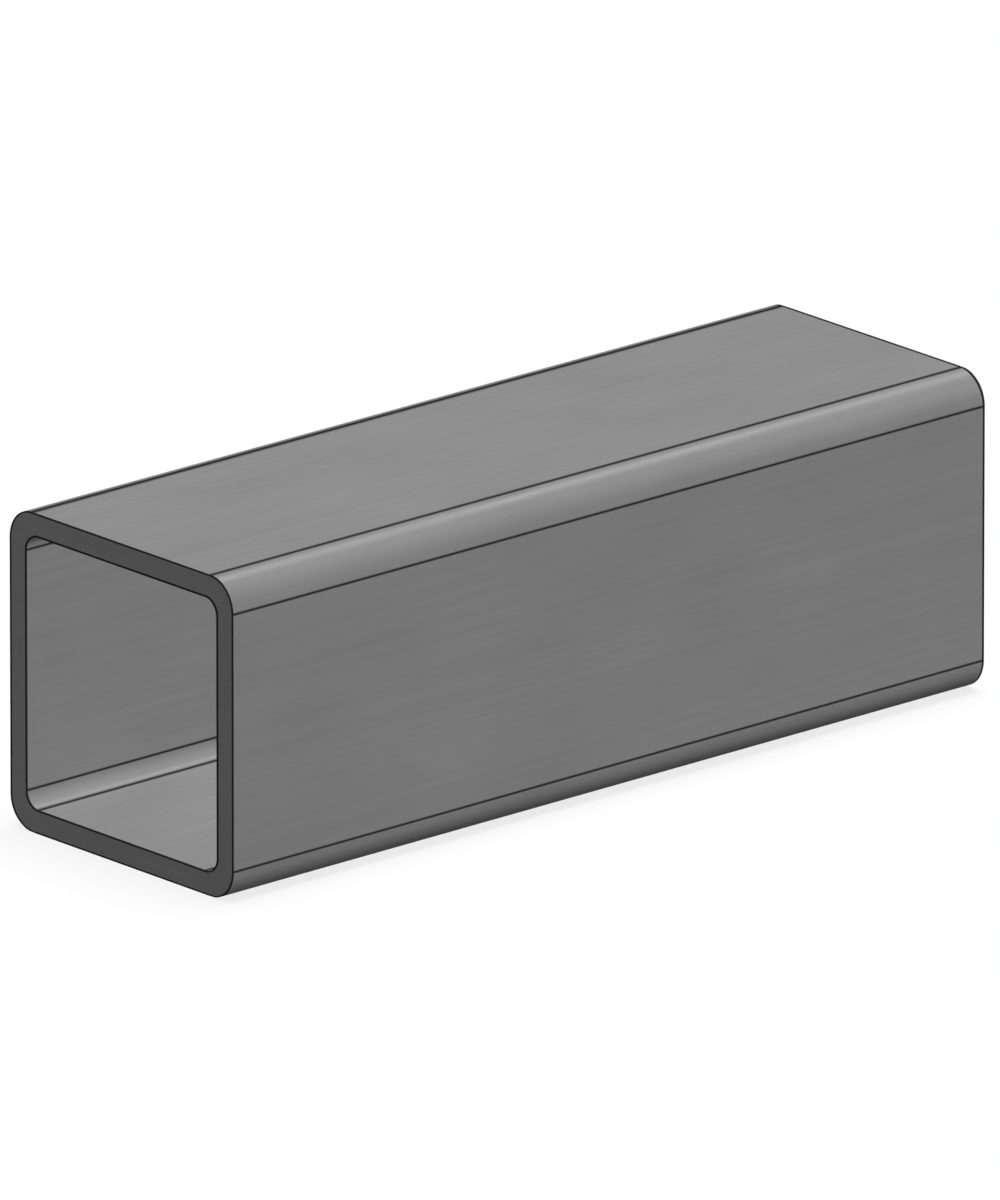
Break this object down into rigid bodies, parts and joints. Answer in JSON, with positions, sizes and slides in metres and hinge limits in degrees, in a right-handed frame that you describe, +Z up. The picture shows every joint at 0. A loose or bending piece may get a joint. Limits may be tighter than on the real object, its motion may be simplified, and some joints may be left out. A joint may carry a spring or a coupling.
{
  "type": "square hollow section",
  "caption": "Short sawn length of square steel hollow section with rounded long corners inside and out, open at both ends.",
  "frame": {"origin": "middle of the flat underside the section lies on", "axes": "+X along the length, +Y across the width, +Z up"},
  "size_m": [0.24, 0.08, 0.08],
  "materials": {
    "mill_steel": "satin"
  },
  "bodies": {
    "root": {"hollow_section": "mill_steel"}
  },
  "joints": []
}
